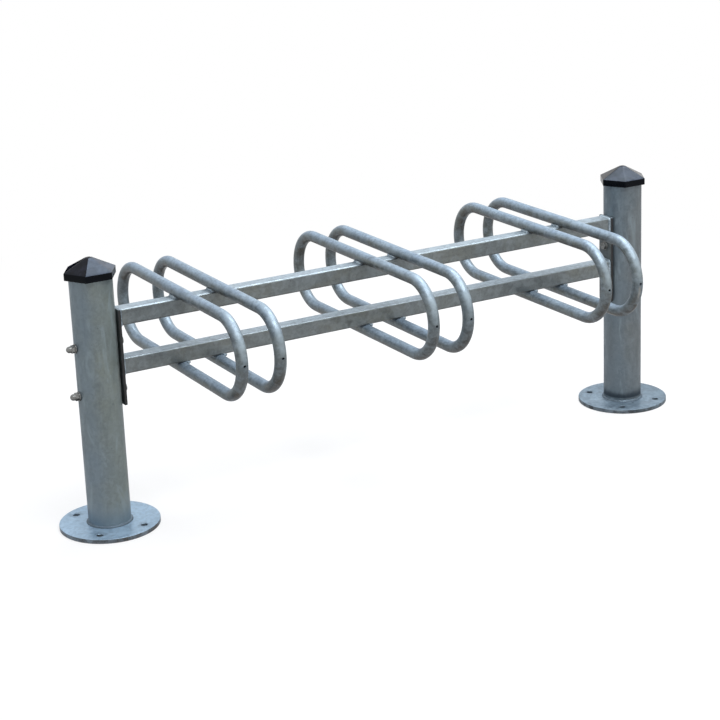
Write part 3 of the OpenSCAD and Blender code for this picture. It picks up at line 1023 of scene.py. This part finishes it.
def add_fasteners(side, flip):
    """Bolts, nuts and washers of one side; the left nuts sit outside the post, the right ones inside."""
    mirror = placed(flip=flip)
    bolt = bolt_part(f"{side}_upper_bolt")
    nut_name, nut = NUTS[side]
    post_face = -POST_X - POST_R
    nut_x = BORE_NUT_X if flip else post_face - WASHER_T
    inner = []
    outer = []
    for level, z in (("upper", UPPER_BOLT), ("lower", LOWER_BOLT)):
        spin = rng.uniform(-0.5, 0.5)
        nut_spin = 0 if flip else -spin * 1.3
        head_at = placed(PLATE_IN + WASHER_T, 0, z, math.pi / 2, "Y") @ Matrix.Rotation(spin, 4, "Z")
        nut_at = placed(nut_x, 0, z, -math.pi / 2, "Y") @ Matrix.Rotation(nut_spin, 4, "Z")
        add_piece(
            f"{side}_{level}_hex_bolt", [turned(bolt, mirror @ head_at)], FASTENER,
            [f"{side}_{level}_bolt"])
        add_piece(
            f"{side}_{level}_{nut_name}_turned", [turned(nut, mirror @ nut_at)], FASTENER,
            [f"{side}_{level}_{nut_name}"])
        inner.append(turned(washer, mirror @ placed(PLATE_IN, 0, z, math.pi / 2, "Y")))
        outer.append(turned(washer, mirror @ placed(post_face, 0, z, -math.pi / 2, "Y")))
    add_piece(f"{side}_inner_washer_pair", inner, FASTENER, [f"{side}_inner_washers"])
    if not flip:
        add_piece("left_outer_washer_pair", outer, FASTENER, ["left_outer_washers"])


def add_hoop_welds(n, x):
    """Beads on both sides of a hoop, over the upper rail and under the lower one, and a drop of weld."""
    top_length = 23 * MM
    low_length = 29 * MM
    short_length = 11.5 * MM
    drop_radii = (3.4 * MM, 2.6 * MM, 3.0 * MM)
    drop_place = (x + 9.2 * MM, -13.6 * MM, LOWER_LOW - 1.6 * MM)
    parts = [hoop_bead(x, s, UPPER_TOP, 1, top_length, rng.uniform(0.9, 1.05)) for s in (-1, 1)]
    parts.append(hoop_bead(x, 1, LOWER_LOW, -1, low_length, rng.uniform(0.95, 1.08)))
    parts.append(hoop_bead(x, -1, LOWER_LOW, -1, short_length, rng.uniform(0.8, 0.95)))
    parts.append(weld_blob(*drop_place, drop_radii, n))
    add_piece(f"hoop_{n}_beads", parts, WELD_ZINC, [f"hoop_{n}_welds"], SHARP_WELD)


for side, flip in (("left", False), ("right", True)):
    add_steelwork(side, flip)
    add_fasteners(side, flip)
for n, x in enumerate(HOOP_X, 1):
    add_hoop_welds(n, x)


# Stage, light and camera
def stage_floor():
    """Floor: white with the object's soft shadow to the camera and to mirrors, warm grey to other light."""
    sides = 96
    level = -0.2 * MM
    ring_radii = (0.02, 1, 3, 8, 20, 45)
    t = material_tree("floor_paper")
    seen = t.seen()
    paper = t.node("ShaderNodeBsdfDiffuse")
    grey = t.mix(t.span(t.noise(3.0, 2.0), 0.3, 0.7), (0.93, 0.89, 0.87, 1), (0.95, 0.91, 0.89, 1))
    t.put(paper.inputs["Color"], t.mix(seen, (0.29, 0.265, 0.25, 1), grey))
    glow = t.node("ShaderNodeEmission")
    glow.inputs["Strength"].default_value = 1.0
    white = t.node("ShaderNodeMixShader")
    reach = t.node("ShaderNodeVectorMath", operation="LENGTH")
    t.put(reach.inputs[0], t.place)
    t.put(white.inputs[0], t.times(seen, t.span(reach.outputs["Value"], 0.6, 1.9, 0.70, 1.0)))
    t.put(white.inputs[1], paper.outputs[0])
    t.put(white.inputs[2], glow.outputs[0])
    t.put(t.out.inputs["Surface"], white.outputs[0])
    points, faces = skin([circle_ring(r, level, sides) for r in ring_radii], False, capped=False)
    mesh = new_mesh("floor", (points, faces + [tuple(range(sides))]))
    mesh.materials.append(t.owner)
    floor = new_object("floor", mesh)


def soft_world():
    """Soft light from all round, cooler from above; white to the camera and to mirrors."""
    t = Tree(bpy.data.worlds.new("studio"), "ShaderNodeOutputWorld", "Generated")
    ramp = t.node("ShaderNodeValToRGB")
    horizon, overhead = ramp.color_ramp.elements
    horizon.position = 0.0
    horizon.color = (0.41, 0.40, 0.39, 1)
    overhead.position = 0.8
    overhead.color = (0.72, 0.80, 0.90, 1)
    t.put(ramp.inputs[0], t.axis(2))
    shade = t.node("ShaderNodeBackground")
    t.put(shade.inputs["Color"], t.mix(t.seen(), ramp.outputs[0], (1, 1, 1, 1)))
    t.put(t.out.inputs["Surface"], shade.outputs[0])
    bpy.context.scene.world = t.owner


def area_lamp(name, place, aim, size, power, colour):
    """Rectangular lamp at place, turned to aim; one that looks straight down has its size along X and Y."""
    data = bpy.data.lights.new(name, "AREA")
    data.shape = "RECTANGLE"
    data.size, data.size_y = size
    data.energy = power
    data.color = colour
    lamp = new_object(name, data)
    lamp.location = place
    lamp.rotation_euler = (Vector(aim) - Vector(place)).to_track_quat("-Z", "Y").to_euler()


def studio_camera():
    """Camera at the photograph's angle, as fitted to the photo's outline."""
    picture_px = 720
    centre_x_px = 384.0
    centre_y_px = 308.0
    focal_px = 1897.60
    distance = 3.58683
    target = Vector((0.00946, 0.0, 0.29856))
    az, el, roll = (math.radians(v) for v in (29.6758, 16.6296, -2.0772))
    forward = Vector((math.sin(az) * math.cos(el), math.cos(az) * math.cos(el), -math.sin(el)))
    level = Vector((math.cos(az), -math.sin(az), 0.0))
    upright = level.cross(forward)
    right = level * math.cos(roll) + upright * math.sin(roll)
    up = upright * math.cos(roll) - level * math.sin(roll)
    back = -forward
    data = bpy.data.cameras.new("camera")
    data.sensor_width = 36.0
    data.lens = focal_px / picture_px * data.sensor_width
    data.shift_x = (picture_px / 2 - centre_x_px) / picture_px
    data.shift_y = (centre_y_px - picture_px / 2) / picture_px
    data.clip_start = 0.05
    data.clip_end = 120.0
    camera = new_object("camera", data)
    turn = Matrix((right, up, back)).transposed().to_4x4()
    camera.matrix_world = Matrix.Translation(target - forward * distance) @ turn
    bpy.context.scene.camera = camera


stage_floor()
soft_world()
area_lamp("lamp_over", (1.12, 0.70, 2.6), (1.12, 0.70, 0), (2.3, 0.95), 47, (0.88, 0.95, 1.0))
area_lamp("lamp_front_top", (0.2, -1.0, 2.4), (0.2, -0.6, 0.3), (2.4, 1.1), 46, (0.90, 0.96, 1.0))
area_lamp("lamp_front_right", (2.4, -2.2, 1.5), (0.1, 0, 0.25), (1.6, 1.6), 6, (1.0, 0.97, 0.93))
studio_camera()
bpy.context.scene.view_settings.view_transform = "Standard"
